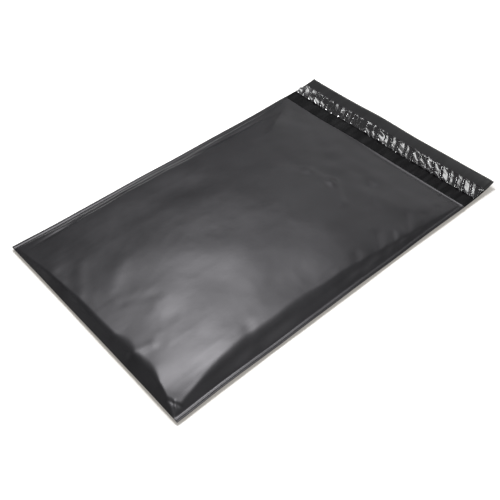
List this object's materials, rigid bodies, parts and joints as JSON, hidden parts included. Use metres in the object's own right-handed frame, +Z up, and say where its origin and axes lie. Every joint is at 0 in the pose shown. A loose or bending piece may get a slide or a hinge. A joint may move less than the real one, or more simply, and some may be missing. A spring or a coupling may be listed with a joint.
{
  "type": "poly mailer bag",
  "caption": "Filled plastic mailing bag lying flat, with side welds, an open mouth and a lip that carries an adhesive band under a peel-off liner.",
  "frame": {"origin": "under the middle of the bag's outline, on the plane that its belly rests on", "axes": "+X across the bag, +Y from the bottom fold to the end of the lip, +Z up out of the front panel"},
  "size_m": [0.25, 0.3956, 0.0175],
  "materials": {
    "film": "satin dark grey polyethylene film outside, glossier black inside",
    "adhesive": "smooth tacky hot-melt adhesive",
    "liner": "thin clear release film, crinkled and shiny over black"
  },
  "bodies": {
    "root": {"mailer_pouch": "film", "adhesive_strip": "adhesive", "release_liner": "liner"}
  },
  "joints": []
}
